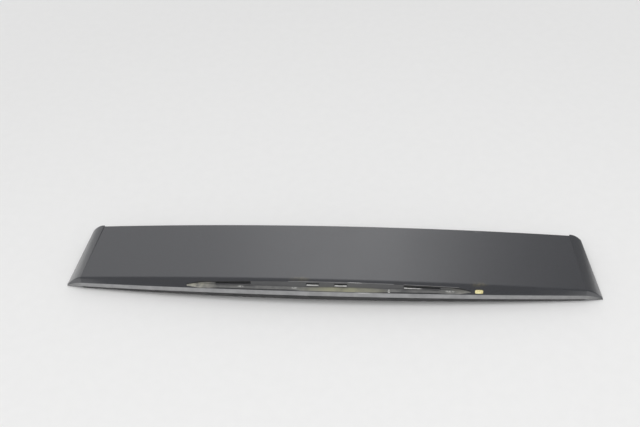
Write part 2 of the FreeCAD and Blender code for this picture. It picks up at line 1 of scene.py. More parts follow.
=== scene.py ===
import math
import bpy
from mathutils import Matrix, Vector


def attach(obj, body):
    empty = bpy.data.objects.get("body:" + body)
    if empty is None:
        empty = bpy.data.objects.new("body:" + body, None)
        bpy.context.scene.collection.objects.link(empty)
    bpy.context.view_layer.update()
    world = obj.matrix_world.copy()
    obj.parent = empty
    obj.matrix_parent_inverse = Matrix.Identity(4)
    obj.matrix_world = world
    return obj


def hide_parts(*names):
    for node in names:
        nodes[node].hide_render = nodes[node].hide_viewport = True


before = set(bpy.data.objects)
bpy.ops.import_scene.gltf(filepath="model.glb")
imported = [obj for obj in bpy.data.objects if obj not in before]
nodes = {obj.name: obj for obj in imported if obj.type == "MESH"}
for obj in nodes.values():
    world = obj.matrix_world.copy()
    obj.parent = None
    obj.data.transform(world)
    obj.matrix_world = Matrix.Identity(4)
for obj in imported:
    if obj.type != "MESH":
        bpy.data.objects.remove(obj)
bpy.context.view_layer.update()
scene = bpy.context.scene


# small helpers
def deselectAll():
    if bpy.context.mode != "OBJECT":
        bpy.ops.object.mode_set(mode="OBJECT")
    bpy.ops.object.select_all(action="DESELECT")


def only(obj):
    deselectAll()
    obj.select_set(True)
    bpy.context.view_layer.objects.active = obj


def editTool(obj, tool, **options):
    only(obj)
    bpy.ops.object.mode_set(mode="EDIT")
    bpy.ops.mesh.select_all(action="SELECT")
    tool(**options)
    bpy.ops.object.mode_set(mode="OBJECT")


def editChosen(obj, kind, tool, **options):
    # the tool acts on what was selected in code: vertices, edges or faces
    only(obj)
    scene.tool_settings.mesh_select_mode = [kind == name for name in ("VERT", "EDGE", "FACE")]
    bpy.ops.object.mode_set(mode="EDIT")
    tool(**options)
    bpy.ops.object.mode_set(mode="OBJECT")


def clearChoice(mesh):
    for part in (mesh.vertices, mesh.edges, mesh.polygons):
        part.foreach_set("select", [False] * len(part))


def chooseEdge(mesh, line):
    line.select = True
    for v in line.vertices:
        mesh.vertices[v].select = True


def joinInto(obj, pieces):
    deselectAll()
    for piece in pieces + [obj]:
        piece.select_set(True)
    bpy.context.view_layer.objects.active = obj
    bpy.ops.object.join()


def applyModifier(obj, kind, **options):
    only(obj)
    modifier = obj.modifiers.new(kind.lower(), kind)
    for key, value in options.items():
        setattr(modifier, key, value)
    bpy.ops.object.modifier_apply(modifier=modifier.name)


def smooth(obj, degrees):
    only(obj)
    bpy.ops.object.shade_smooth_by_angle(angle=math.radians(degrees))


def lerp(a, b, t):
    return tuple(p + (q - p) * t for p, q in zip(a, b))


def clamp(value):
    return min(1.0, max(0.0, value))


# camera at the photograph's place
camera = {"place": (0.13058, -1.28351, 1.40057), "turn": (46.734, 2.4536, 4.128), "lens": 47.49, "sensor": 36}

deselectAll()
bpy.ops.object.camera_add(location=camera["place"], rotation=[math.radians(a) for a in camera["turn"]])
scene.camera = bpy.context.object
scene.camera.data.lens = camera["lens"]
scene.camera.data.sensor_width = camera["sensor"]
print("camera placed")


# material helpers
def newMaterial(name):
    material = bpy.data.materials.new(name)
    material.use_nodes = True
    return material, material.node_tree, material.node_tree.nodes["Principled BSDF"]


def addNode(tree, kind, inputs=None, **options):
    node = tree.nodes.new(kind)
    for key, value in options.items():
        setattr(node, key, value)
    for key, value in (inputs or {}).items():
        if isinstance(value, bpy.types.NodeSocket):
            tree.links.new(value, node.inputs[key])
        else:
            node.inputs[key].default_value = value
    return node


def objectPlace(tree):
    return addNode(tree, "ShaderNodeTexCoord").outputs["Object"]


def split(tree, vector):
    return addNode(tree, "ShaderNodeSeparateXYZ", {"Vector": vector}).outputs


def noise(tree, scale, detail):
    inputs = {"Vector": objectPlace(tree), "Scale": scale, "Detail": detail}
    return addNode(tree, "ShaderNodeTexNoise", inputs).outputs["Fac"]


def remap(tree, value, low, high, toLow=0.0, toHigh=1.0):
    inputs = {"Value": value, "From Min": low, "From Max": high, "To Min": toLow, "To Max": toHigh}
    return addNode(tree, "ShaderNodeMapRange", inputs).outputs["Result"]


def speckle(tree, grain, toLow=0.0, toHigh=1.0):
    # grain: scale, detail, and the noise values that become toLow and toHigh
    scale, detail, low, high = grain
    return remap(tree, noise(tree, scale, detail), low, high, toLow, toHigh)


def combine(tree, operation, a, b):
    return addNode(tree, "ShaderNodeMath", {0: a, 1: b}, operation=operation).outputs["Value"]


def times(tree, a, b):
    return combine(tree, "MULTIPLY", a, b)


def most(tree, a, b):
    return combine(tree, "MAXIMUM", a, b)


def mixColor(tree, amount, a, b):
    node = addNode(tree, "ShaderNodeMix", data_type="RGBA")
    sockets = {"Factor": node.inputs[0], "A": node.inputs[6], "B": node.inputs[7]}
    for key, value in (("Factor", amount), ("A", a), ("B", b)):
        if isinstance(value, bpy.types.NodeSocket):
            tree.links.new(value, sockets[key])
        else:
            sockets[key].default_value = value
    return node.outputs[2]


def blob(tree, centre, reach, soft):
    # 1 in the middle of an ellipsoid in the row frame, 0 outside
    move = addNode(tree, "ShaderNodeVectorMath", {0: objectPlace(tree), 1: centre}, operation="SUBTRACT")
    shape = addNode(tree, "ShaderNodeVectorMath", {0: move.outputs[0], 1: reach}, operation="DIVIDE")
    length = addNode(tree, "ShaderNodeVectorMath", {0: shape.outputs[0]}, operation="LENGTH")
    return remap(tree, length.outputs["Value"], 1.0, 1.0 - soft)


def blobs(tree, spots, soft):
    mask = None
    for centre, reach in spots:
        spot = blob(tree, centre, reach, soft)
        mask = most(tree, mask, spot) if mask else spot
    return mask


def bump(tree, height, strength, distance):
    inputs = {"Height": height, "Strength": strength, "Distance": distance}
    return addNode(tree, "ShaderNodeBump", inputs).outputs["Normal"]


# gloss paint of the deck, wings and band
paint = {
    "dark": (0.0455, 0.0466, 0.0508, 1), "light": (0.078, 0.080, 0.0893, 1),
    "flakes": (1600.0, 2.0, 0.30, 0.70),
    "metallic": 0.2, "roughness": (0.31, 0.40), "haze": (9.0, 5.0, 0.35, 0.75),
    "coatRoughness": 0.035, "peel": (260.0, 1.0), "peelStrength": 0.05, "peelDepth": 0.0004,
    "markAmount": 0.42, "markSoft": 0.8,
    "marks": [                                            # brownish blotches on the crease, a scuff at the front edge
        {"tint": (0.20, 0.175, 0.10, 1), "streaks": (120.0, 3.0, 0.30, 0.65),
         "spots": [((0.323, -0.074, 0.060), (0.024, 0.008, 0.008)),
                   ((-0.056, -0.080, 0.070), (0.026, 0.008, 0.010))]},
        {"tint": (0.22, 0.22, 0.21, 1), "streaks": (420.0, 3.0, 0.30, 0.65),
         "spots": [((0.326, 0.080, 0.0635), (0.012, 0.003, 0.006))]},
    ],
}


def paintMaterial():
    material, tree, shader = newMaterial("skinPaint")
    colour = mixColor(tree, speckle(tree, paint["flakes"]), paint["dark"], paint["light"])
    for mark in paint["marks"]:
        streaks = times(tree, speckle(tree, mark["streaks"]), paint["markAmount"])
        markAmount = times(tree, blobs(tree, mark["spots"], paint["markSoft"]), streaks)
        colour = mixColor(tree, markAmount, colour, mark["tint"])
    tree.links.new(colour, shader.inputs["Base Color"])
    tree.links.new(speckle(tree, paint["haze"], *paint["roughness"]), shader.inputs["Roughness"])
    shader.inputs["Metallic"].default_value = paint["metallic"]
    shader.inputs["Coat Weight"].default_value = 1.0
    shader.inputs["Coat Roughness"].default_value = paint["coatRoughness"]
    peel = bump(tree, noise(tree, *paint["peel"]), paint["peelStrength"], paint["peelDepth"])
    tree.links.new(peel, shader.inputs["Coat Normal"])
    return material


# satin lip below the band, also laid on stretches of the recess's roof edge as a painted highlight
lip = {
    "dark": (0.265, 0.266, 0.269, 1), "light": (0.325, 0.326, 0.329, 1), "mottle": (60.0, 4.0, 0.35, 0.65),
    "roughness": (0.36, 0.44), "grain": (400.0, 2.0, 0.3, 0.7),
    # painted highlight: white glints on the roof edge and on the lip's top edge
    "bareAndGlint": (0.82, 0.82, 0.81, 1), "glintSoft": 0.5,
    "glints": [((0.060, -0.0837, 0.0640), (0.018, 0.005, 0.004)),
               ((0.079, -0.0944, 0.0468), (0.021, 0.003, 0.0016))],
    # painted shade: the lip's colour darkens toward both tips
    "tip": (0.062, 0.063, 0.066, 1),                      # shaded toward both tips, sooner at the right one
    "shades": [(0.30, 0.54, 0.0, 0.22), (0.545, 0.585, 0.0, 0.8), (-0.55, -0.585, 0.0, 0.55)],
}


def lipMaterial():
    material, tree, shader = newMaterial("lipSatin")
    colour = mixColor(tree, speckle(tree, lip["mottle"]), lip["dark"], lip["light"])
    # painted highlight: the white glints are mixed in here
    colour = mixColor(tree, blobs(tree, lip["glints"], lip["glintSoft"]), colour, lip["bareAndGlint"])
    along = split(tree, objectPlace(tree))["X"]
    # painted shade toward both tips
    shade = remap(tree, along, *lip["shades"][0])
    for stretch in lip["shades"][1:]:
        shade = most(tree, shade, remap(tree, along, *stretch))
    tree.links.new(mixColor(tree, shade, colour, lip["tip"]), shader.inputs["Base Color"])
    tree.links.new(speckle(tree, lip["grain"], *lip["roughness"]), shader.inputs["Roughness"])
    return material


# recess: dull paint with dust, a yellowed film and chips; its wall and floor tones hold painted light, and a
# painted shadow runs along the floor's front edge
recessLook = {
    # the wall's tone is lighter than the band's paint: painted light against the shade under the roof
    "wall": (0.105, 0.106, 0.110, 1), "paler": (0.135, 0.136, 0.138, 1), "wallGrain": (45.0, 4.0),
    "floor": (0.21, 0.21, 0.205, 1), "level": (0.5, 0.9), "floorGrain": (55.0, 4.0, 0.30, 0.62),
    "dust": (0.42, 0.41, 0.355, 1), "dustFrom": (0.238, 0.282), "dustSides": (-0.1, 0.1, 1.0, 0.3),
    "dustGrain": (90.0, 5.0, 0.30, 0.55),
    "film": (0.33, 0.325, 0.235, 1), "filmGrain": (38.0, 3.0, 0.12, 0.50), "filmSoft": 0.6,
    "filmSpot": ((0.036, -0.089, 0.047), (0.105, 0.012, 0.004)),
    # painted shadow line along the floor's front edge
    "edgeShadow": (0.03, 0.03, 0.031, 1), "edgeShadowDark": 0.8, "edgeShadowWidth": (0.0030, 0.0020),
    "front": (0.0, 0.1, -0.0944, -0.08492),               # floor's front edge, over the square of x
    "edgeShadowNear": (0.055, 0.075), "edgeShadowFar": (0.255, 0.235), "edgeShadowSides": [(0.10, 0.13), (-0.02, -0.05)],
    "chip": (0.55, 0.55, 0.53, 1), "chipGrain": (300.0, 3.0, 0.38, 0.52), "chipSoft": 0.5,
    "chips": [((-0.186, -0.083, 0.046), (0.009, 0.003, 0.003)),
              ((-0.070, -0.086, 0.047), (0.008, 0.003, 0.003)),
              ((0.262, -0.081, 0.043), (0.012, 0.003, 0.003)),
              ((0.133, -0.089, 0.047), (0.003, 0.008, 0.004))],
    "roughness": (0.0, 0.6, 0.42, 0.85),
}


def floorEdgeShadow(tree, place, spread, level):
    # painted shadow: a dark line along the floor's front edge, on both sides of the film
    front = remap(tree, times(tree, place["X"], place["X"]), *recessLook["front"])
    line = remap(tree, combine(tree, "SUBTRACT", place["Y"], front), *recessLook["edgeShadowWidth"])
    near = remap(tree, spread, *recessLook["edgeShadowNear"])
    far = remap(tree, spread, *recessLook["edgeShadowFar"])
    right, left = (remap(tree, place["X"], *side) for side in recessLook["edgeShadowSides"])
    stretch = times(tree, times(tree, near, far), most(tree, right, left))
    return times(tree, times(tree, times(tree, level, line), stretch), recessLook["edgeShadowDark"])


def recessMaterial():
    material, tree, shader = newMaterial("recessPaint")
    place = split(tree, objectPlace(tree))
    spread = combine(tree, "ABSOLUTE", place["X"], 0.0)
    facing = addNode(tree, "ShaderNodeNewGeometry").outputs["Normal"]
    level = remap(tree, split(tree, facing)["Z"], *recessLook["level"])
    colour = mixColor(tree, noise(tree, *recessLook["wallGrain"]), recessLook["wall"], recessLook["paler"])
    # upward faces lighter: settled dust, and painted light from above
    settledDustAndLight = times(tree, level, speckle(tree, recessLook["floorGrain"]))
    colour = mixColor(tree, settledDustAndLight, colour, recessLook["floor"])
    # dust at the pointed ends, most of it at the left one
    ends = remap(tree, spread, *recessLook["dustFrom"])
    ends = times(tree, ends, remap(tree, place["X"], *recessLook["dustSides"]))
    dusty = times(tree, ends, speckle(tree, recessLook["dustGrain"]))
    colour = mixColor(tree, dusty, colour, recessLook["dust"])
    film = blob(tree, *recessLook["filmSpot"], recessLook["filmSoft"])
    film = times(tree, film, speckle(tree, recessLook["filmGrain"]))
    colour = mixColor(tree, film, colour, recessLook["film"])
    # painted shadow along the floor's front edge
    colour = mixColor(tree, floorEdgeShadow(tree, place, spread, level), colour, recessLook["edgeShadow"])
    for centre, reach in recessLook["chips"]:
        flake = blob(tree, centre, reach, recessLook["chipSoft"])
        flake = times(tree, flake, speckle(tree, recessLook["chipGrain"]))
        colour = mixColor(tree, flake, colour, recessLook["chip"])
    tree.links.new(colour, shader.inputs["Base Color"])
    tree.links.new(remap(tree, dusty, *recessLook["roughness"]), shader.inputs["Roughness"])
    return material


# pale dust and painted light on the ledges under the clip slots, plain in other places
ledgeDustAndLight = {
    "bareAndGlint": (0.10, 0.101, 0.104, 1), "dark": (0.48, 0.48, 0.465, 1), "light": (0.66, 0.66, 0.65, 1),
    "grain": (160.0, 4.0, 0.35, 0.65), "roughness": 0.6, "soft": 0.3,
    "spots": [((0.0, -0.085, 0.055), (0.06, 0.02, 0.02)), ((0.178, -0.082, 0.05), (0.026, 0.02, 0.02))],
}


def ledgeMaterial():
    material, tree, shader = newMaterial("ledgeDustAndLight")
    dust = mixColor(tree, speckle(tree, ledgeDustAndLight["grain"]), ledgeDustAndLight["dark"], ledgeDustAndLight["light"])
    # pale spots: dust, and painted light where the ledges catch it
    pale = blobs(tree, ledgeDustAndLight["spots"], ledgeDustAndLight["soft"])
    tree.links.new(mixColor(tree, pale, ledgeDustAndLight["bareAndGlint"], dust), shader.inputs["Base Color"])
    shader.inputs["Roughness"].default_value = ledgeDustAndLight["roughness"]
    return material


# black grained plastic of the inner shell
plastic = {
    "dark": (0.028, 0.028, 0.029, 1), "light": (0.046, 0.046, 0.047, 1), "patches": (14.0, 5.0, 0.35, 0.70),
    "roughness": (0.5, 0.65), "haze": (30.0, 3.0, 0.3, 0.7),
    "grain": (1400.0, 2.0), "grainStrength": 0.25, "grainDepth": 0.0003,
}


def plasticMaterial():
    material, tree, shader = newMaterial("shellPlastic")
    colour = mixColor(tree, speckle(tree, plastic["patches"]), plastic["dark"], plastic["light"])
    tree.links.new(colour, shader.inputs["Base Color"])
    tree.links.new(speckle(tree, plastic["haze"], *plastic["roughness"]), shader.inputs["Roughness"])
    grain = bump(tree, noise(tree, *plastic["grain"]), plastic["grainStrength"], plastic["grainDepth"])
    tree.links.new(grain, shader.inputs["Normal"])
    return material


# zinc plated steel of the studs
zinc = {
    "dark": (0.46, 0.45, 0.41, 1), "light": (0.66, 0.65, 0.61, 1), "haze": (220.0, 4.0, 0.35, 0.65),
    "roughness": (0.46, 0.34),
}


def zincMaterial():
    material, tree, shader = newMaterial("studSteel")
    haze = speckle(tree, zinc["haze"])
    tree.links.new(mixColor(tree, haze, zinc["dark"], zinc["light"]), shader.inputs["Base Color"])
    tree.links.new(remap(tree, haze, 0.0, 1.0, *zinc["roughness"]), shader.inputs["Roughness"])
    shader.inputs["Metallic"].default_value = 1.0
    return material


# closed cell foam of washers, seal and pads
foam = {
    "dark": (0.018, 0.018, 0.019, 1), "light": (0.055, 0.055, 0.056, 1), "roughness": 0.92,
    "cells": 1300.0, "cellEdge": 0.7, "cellStrength": 0.6, "cellDepth": 0.0004,
    "nodes": ("foam_washer", "front_seal", "end_pad"),
}


def foamMaterial():
    material, tree, shader = newMaterial("foamCells")
    cells = addNode(tree, "ShaderNodeTexVoronoi", {"Vector": objectPlace(tree), "Scale": foam["cells"]})
    depth = remap(tree, cells.outputs["Distance"], 0.0, foam["cellEdge"])
    tree.links.new(mixColor(tree, depth, foam["dark"], foam["light"]), shader.inputs["Base Color"])
    shader.inputs["Roughness"].default_value = foam["roughness"]
    tree.links.new(bump(tree, depth, foam["cellStrength"], foam["cellDepth"]), shader.inputs["Normal"])
    return material


# old adhesive
tape = {
    "dark": (0.62, 0.53, 0.22, 1), "light": (0.84, 0.79, 0.48, 1), "blotches": (330.0, 4.0, 0.35, 0.65),
    "roughness": 0.7,
}


def tapeMaterial():
    material, tree, shader = newMaterial("residue")
    colour = mixColor(tree, speckle(tree, tape["blotches"]), tape["dark"], tape["light"])
    tree.links.new(colour, shader.inputs["Base Color"])
    shader.inputs["Roughness"].default_value = tape["roughness"]
    return material


looks = {
    "paint": paintMaterial(), "ledge": ledgeMaterial(), "lip": lipMaterial(), "recess": recessMaterial(),
    "plastic": plasticMaterial(), "zinc": zincMaterial(), "foam": foamMaterial(), "tape": tapeMaterial(),
}
print("materials made", len(looks))


# upper skin: one moulded sheet, drawn as sections from end to end
skin = {
    "half": 0.590, "wall": 0.003,
    "front": ((0.0803, 0.0155), (0.074, -0.034)),         # y and z in the middle, then what the tips add
    "crease": ((-0.0796, 0.020), (0.071, -0.038)),
    "foot": ((-0.095, 0.033), (0.047, -0.027)),
    "lip": ((-0.098, 0.0365), (0.037, -0.028)),
    "flange": 0.016, "return": 0.003, "returnRise": 0.0003,
    "frontRound": 0.0028, "creaseRound": 0.005, "tipRound": 0.001, "roundMost": 0.45,
    # recess in the band, pointed at both ends
    "recessHalf": 0.280, "recessPoint": 0.305, "roofDrop": 0.0065, "roofArch": 0.011, "roofDepth": 0.003,
    "floorRise": 0.001, "floorDepth": 0.011, "pointRise": 0.003, "pointHigh": 0.002, "pointDeep": 0.002,
    # painted shadow line under its roof, a row in black plastic, and the most of the wall's height it may
    # take
    "shadeDrop": 0.0052, "shadeEnd": 0.0095, "shadeGrows": (0.262, 0.290), "shadeFrom": 0.163,
    "shadeMost": 0.68,
    # clip slots, with the shares of the wall that keep them apart near the points
    "slots": [(0.016, 0.044), (0.164, 0.242)], "slotDrop": 0.0058, "slotHigh": 0.004,
    "slotTopMost": 0.5, "slotEndMost": 0.75, "slotGap": 0.04, "slotLeast": 0.08,
    "slotAboveFoot": 0.0025, "slotBelowRoof": 0.003, "slotDeep": 0.012, "wallNear": 0.0002,
    "ledgeReach": 0.003, "ledgeRoot": 0.001, "ledgeThick": 0.0018, "ledgeEnd": 0.001, "ledgeBevel": 0.0003,
    # stretches of the roof edge in lighter grey, a painted highlight
    "roofEdge": 0.0014, "highlightEdges": [(-0.078, 0.142), (0.164, 0.281)],
    # wings: corners from the low front edge over the deck to the lip, at the root and at the tip
    "wingFront": 0.09795, "wingRootX": 0.533, "wingRootSlant": 0.1061,
    "tipFront": 0.09195, "tipX": 0.560, "tipSlant": 0.2028,
    "wingRoot": [(0.0947, 0.03025), (0.0947, 0.0476), (-0.0622, 0.038), (-0.0663, 0.0235),
                 (-0.0663, 0.0127), (-0.0629, 0.00475)],
    "tip": [(0.09195, 0.018), (0.09195, 0.035), (-0.054, 0.005), (-0.055, 0.0035),
            (-0.056, 0.002), (-0.055, 0.0)],
    "crown": [(0.0015, 0.0), (0.0015, 0.003), (0.0, 0.003), (0.0, 0.0015), (0.0, 0.0), (0.0, 0.0)],
    "thinFrom": 0.535, "thinOver": 0.055, "thinBy": 0.95, "thinLeast": 0.12,
    "stations": [0.0, 0.008, 0.016, 0.023, 0.030, 0.037, 0.044, 0.062, 0.082, 0.102, 0.122, 0.143, 0.164,
                 0.184, 0.203, 0.222, 0.242, 0.261, 0.280, 0.285, 0.290, 0.295, 0.300, 0.305, 0.3056,
                 0.322, 0.340],
    "slantSteps": 10, "wingSteps": 12, "deckRows": 9, "arcRows": 5,
    "bevel": 0.0005, "bevelAngle": 42, "smoothAngle": 38, "merge": 0.00002,
    "slack": 0.00001, "onEdge": 0.00005, "upward": 0.5, "deckSpot": (0.1, 0.03),    # to find faces and edges
    "looks": ("paint", "recess", "lip", "ledge", "plastic"),
}
lookIndex = {look: i for i, look in enumerate(skin["looks"])}
recessRows = 7                                            # points of the recess in each section
tailRows = 3                                              # foot, lip and return below them
slotBottom = 4                                            # the slot's bottom among the recess points


def edge(name, x):
    q = (x / skin["half"]) ** 2
    return tuple(middle + gain * q for middle, gain in skin[name])


def rounded(before, corner, after, radius, count):
    # points of a rounded corner, as a curve between the two tangent points
    toBefore = Vector(before) - Vector(corner)
    toAfter = Vector(after) - Vector(corner)
    half = toBefore.angle(toAfter) / 2
    longest = skin["roundMost"] * min(toBefore.length, toAfter.length)
    back = min(radius / math.tan(half), longest)
    start = Vector(corner) + toBefore.normalized() * back
    end = Vector(corner) + toAfter.normalized() * back
    steps = [i / (count - 1) for i in range(count)]
    return [tuple((1 - t) ** 2 * start + 2 * t * (1 - t) * Vector(corner) + t * t * end) for t in steps]


def wallShares(wall, x):
    # heights of the shaded line, slot top and slot bottom, as shares of the back wall
    near, far = skin["shadeGrows"]
    growth = clamp((abs(x) - near) / (far - near))
    shaded = skin["shadeDrop"] + (skin["shadeEnd"] - skin["shadeDrop"]) * growth
    shade = min(shaded / wall, skin["shadeMost"])
    slotTop = max(min(skin["slotDrop"] / wall, skin["slotTopMost"]), shade + skin["slotGap"])
    slotEnd = min((skin["slotDrop"] + skin["slotHigh"]) / wall, skin["slotEndMost"])
    return shade, slotTop, max(slotEnd, slotTop + skin["slotLeast"])


def recessPoints(crease, foot, x):
    # roof edge, roof back, shaded line, slot top, slot bottom, floor back and floor edge
    def onBand(z):
        t = (z - crease[1]) / (foot[1] - crease[1])
        return (crease[0] + (foot[0] - crease[0]) * t, z)

    share = clamp((skin["recessPoint"] - abs(x)) / (skin["recessPoint"] - skin["recessHalf"]))
    floorZ = foot[1] + skin["floorRise"]
    roofZ = crease[1] - skin["roofDrop"] - skin["roofArch"] * (x / skin["half"]) ** 2
    pointZ = floorZ + skin["pointRise"]
    roofZ = pointZ + skin["pointHigh"] + (roofZ - pointZ - skin["pointHigh"]) * math.sqrt(share)
    floorZ = pointZ + (floorZ - pointZ) * share
    roofIn = skin["pointDeep"] + (skin["roofDepth"] - skin["pointDeep"]) * share
    floorIn = skin["pointDeep"] + (skin["floorDepth"] - skin["pointDeep"]) * share
    roof = onBand(roofZ)
    floor = onBand(floorZ)
    back = (roof[0] + roofIn, roofZ)
    heel = (floor[0] + floorIn, floorZ)
    return [roof, back] + [lerp(back, heel, t) for t in wallShares(roofZ - floorZ, x)] + [heel, floor]


def recessAt(x):
    return recessPoints(edge("crease", x), edge("foot", x), x)


def sectionRows(corners, x, inRecess, creaseRound):
    low, front, crease, foot, lipEdge, end = corners
    rows = [low] + rounded(low, front, crease, skin["frontRound"], skin["arcRows"])
    ridge = rounded(front, crease, foot, creaseRound, skin["arcRows"] + 2)
    deckStart = rows[-1]
    rows += [lerp(deckStart, ridge[0], (i + 1) / (skin["deckRows"] + 1)) for i in range(skin["deckRows"])]
    rows += ridge
    if inRecess:
        rows += recessPoints(crease, foot, x)
    else:
        rows += [lerp(ridge[-1], foot, (i + 1) / (recessRows + 1)) for i in range(recessRows)]
    return rows + [foot, lipEdge, end]


def mainStation(x, share):
    # share 0 is a square section, 1 lies in the wing's slanted plane
    def across(y):
        return x + share * skin["wingRootSlant"] * (skin["wingFront"] - y)

    def at(name):
        return edge(name, across(edge(name, x)[0]))

    front, crease, foot, lipEdge = (at(name) for name in ("front", "crease", "foot", "lip"))
    low = (front[0], front[1] - skin["flange"])
    end = (lipEdge[0] + skin["return"], lipEdge[1] + skin["returnRise"])
    corners = [low, front, crease, foot, lipEdge, end]
    rows = sectionRows(corners, x, x <= skin["recessPoint"], skin["creaseRound"])
    return [(across(y), y, z) for y, z in rows]


def wingStation(t):
    # from the wing's root at 0 to its tip at 1, a little crowned between
    def across(y):
        rootX = skin["wingRootX"] + skin["wingRootSlant"] * (skin["wingFront"] - y)
        tipX = skin["tipX"] + skin["tipSlant"] * (skin["tipFront"] - y)
        return rootX + (tipX - rootX) * t

    bulge = 4 * t * (1 - t)
    corners = []
    for root, tip, crown in zip(skin["wingRoot"], skin["tip"], skin["crown"]):
        corners.append(tuple(r + (p - r) * t + c * bulge for r, p, c in zip(root, tip, crown)))
    rows = sectionRows(corners, 1.0, False, skin["creaseRound"] * (1 - t) + skin["tipRound"] * t)
    return [(across(y), y, z) for y, z in rows]


def tipCap(station):
    # closes the blunt tip, down to a line from its front to its back
    (yFront, zFront), (yBack, zBack) = skin["tip"][0], skin["tip"][5]

    def bottom(y):
        return max(0.0, zBack + (zFront - zBack) * (y - yBack) / (yFront - yBack))

    return [(x, y, min(z, bottom(y))) for x, y, z in station]


def skinStations():
    right = [mainStation(x, 0.0) for x in skin["stations"]]
    straight = skin["stations"][-1]
    for i in range(1, skin["slantSteps"] + 1):
        share = i / skin["slantSteps"]
        right.append(mainStation(straight + (skin["wingRootX"] - straight) * share, share))
    right += [wingStation(i / skin["wingSteps"]) for i in range(skin["wingSteps"] + 1)]
    right.append(tipCap(right[-1]))
    left = [[(-x, y, z) for x, y, z in station] for station in reversed(right[1:])]
    return left + right


def gridSkin(stations):
    # one grid, each of its lines laid along a section
    rowCount = len(stations[0])
    deselectAll()
    bpy.ops.mesh.primitive_grid_add(x_subdivisions=len(stations) - 1, y_subdivisions=rowCount - 1, size=2)
    obj = bpy.context.object
    obj.name = "upperSkin"
    spots = []
    for vertex in obj.data.vertices:
        i = round((vertex.co.x + 1) / 2 * (len(stations) - 1))
        j = round((vertex.co.y + 1) / 2 * (rowCount - 1))
        spots.append((i, j))
        vertex.co = stations[i][j]
    for look in skin["looks"]:
        obj.data.materials.append(looks[look])
    return obj, spots


def markFaces(mesh, spots, stations):
    # looks of recess and lip, a row of black plastic as painted shadow under the roof, and the slots' faces
    # chosen
    rowCount = len(stations[0])
    firstRecess = rowCount - tailRows - recessRows
    shadeRow = firstRecess + 1
    slotRow = firstRecess + 3
    clearChoice(mesh)
    for face in mesh.polygons:
        i = min(spots[v][0] for v in face.vertices)
        j = min(spots[v][1] for v in face.vertices)
        near, far = sorted(abs(station[0][0]) for station in stations[i:i + 2])
        if firstRecess <= j < firstRecess + recessRows - 1 and far <= skin["recessPoint"] + skin["slack"]:
            # painted shadow: this row takes black plastic
            shaded = j == shadeRow and near >= skin["shadeFrom"]
            face.material_index = lookIndex["plastic" if shaded else "recess"]
            inSlot = any(a - skin["slack"] <= near and far <= b + skin["slack"] for a, b in skin["slots"])
            face.select = inSlot and j == slotRow
        outmost = max(abs(station[j][0]) for station in stations[i:i + 2])
        if j == rowCount - tailRows and outmost < skin["half"]:
            face.material_index = lookIndex["lip"]


def thickenSkin(obj):
    # even wall, thinner in the tips
    thick = obj.vertex_groups.new(name="thick")
    for vertex in obj.data.vertices:
        reach = max(0.0, (abs(vertex.co.x) - skin["thinFrom"]) / skin["thinOver"])
        thick.add([vertex.index], max(skin["thinLeast"], 1.0 - skin["thinBy"] * reach), "REPLACE")
    editTool(obj, bpy.ops.mesh.remove_doubles, threshold=skin["merge"])
    wide, deep = skin["deckSpot"]
    deck = [face for face in obj.data.polygons if abs(face.center.x) < wide and abs(face.center.y) < deep]
    if sum(face.normal.z for face in deck) < 0:
        editTool(obj, bpy.ops.mesh.flip_normals)
    applyModifier(obj, "SOLIDIFY", thickness=skin["wall"], offset=-1.0, vertex_group="thick",
                  use_even_offset=False)


def onRoofEdge(place):
    y, z = recessAt(place.x)[0]
    return abs(place.y - y) < skin["onEdge"] and abs(place.z - z) < skin["onEdge"]


def roundAndLightRoofEdge(obj):
    # rounded upper edge of the recess, in the lip's lighter grey as a painted highlight along two stretches
    mesh = obj.data
    clearChoice(mesh)
    for line in mesh.edges:
        ends = [mesh.vertices[v].co for v in line.vertices]
        if all(abs(end.x) <= skin["recessHalf"] + skin["slack"] and onRoofEdge(end) for end in ends):
            chooseEdge(mesh, line)
    editChosen(obj, "EDGE", bpy.ops.mesh.bevel, offset=skin["roofEdge"], segments=3, affect="EDGES")
    for face in mesh.polygons:
        if face.select:
            # painted highlight on these stretches of the rounded edge
            paler = any(low < face.center.x < high for low, high in skin["highlightEdges"])
            face.material_index = lookIndex["lip" if paler else "paint"]


def addLedge(ends):
    # a small shelf out of the recess's back wall under a slot
    deselectAll()
    bpy.ops.mesh.primitive_cube_add(size=2)
    ledge = bpy.context.object
    for vertex in ledge.data.vertices:
        x = max(ends) if vertex.co.x > 0 else min(ends)
        y, z = recessAt(x)[slotBottom]
        y += skin["ledgeRoot"] if vertex.co.y > 0 else -skin["ledgeReach"]
        vertex.co = (x, y, z if vertex.co.z > 0 else z - skin["ledgeThick"])
    for look in skin["looks"]:
        ledge.data.materials.append(looks[look])
    for face in ledge.data.polygons:
        face.material_index = lookIndex["ledge" if face.normal.z > skin["upward"] else "recess"]
    applyModifier(ledge, "BEVEL", width=skin["ledgeBevel"], segments=2, limit_method="ANGLE")
    return ledge


def addLedges():
    ledges = []
    for side in (-1, 1):
        for near, far in skin["slots"]:
            ledges.append(addLedge([side * (near + skin["ledgeEnd"]), side * (far - skin["ledgeEnd"])]))
    return ledges


def dressSlots(mesh):
    # pale dust and painted light on the ledges, painted shade in black plastic on the slots' bottoms
    for face in mesh.polygons:
        x, y, z = face.center
        crease, foot = edge("crease", x), edge("foot", x)
        overSlot = any(near < abs(x) < far for near, far in skin["slots"])
        low = foot[1] + skin["slotAboveFoot"]
        high = crease[1] - skin["roofDrop"] - skin["slotBelowRoof"]
        inside = low < z < high and y < crease[0] + skin["slotDeep"]
        if overSlot and inside and face.normal.z > skin["upward"]:
            outside = y < recessAt(x)[slotBottom][0] - skin["wallNear"]
            # black plastic on the slot bottoms is painted shade
            face.material_index = lookIndex["ledge" if outside else "plastic"]


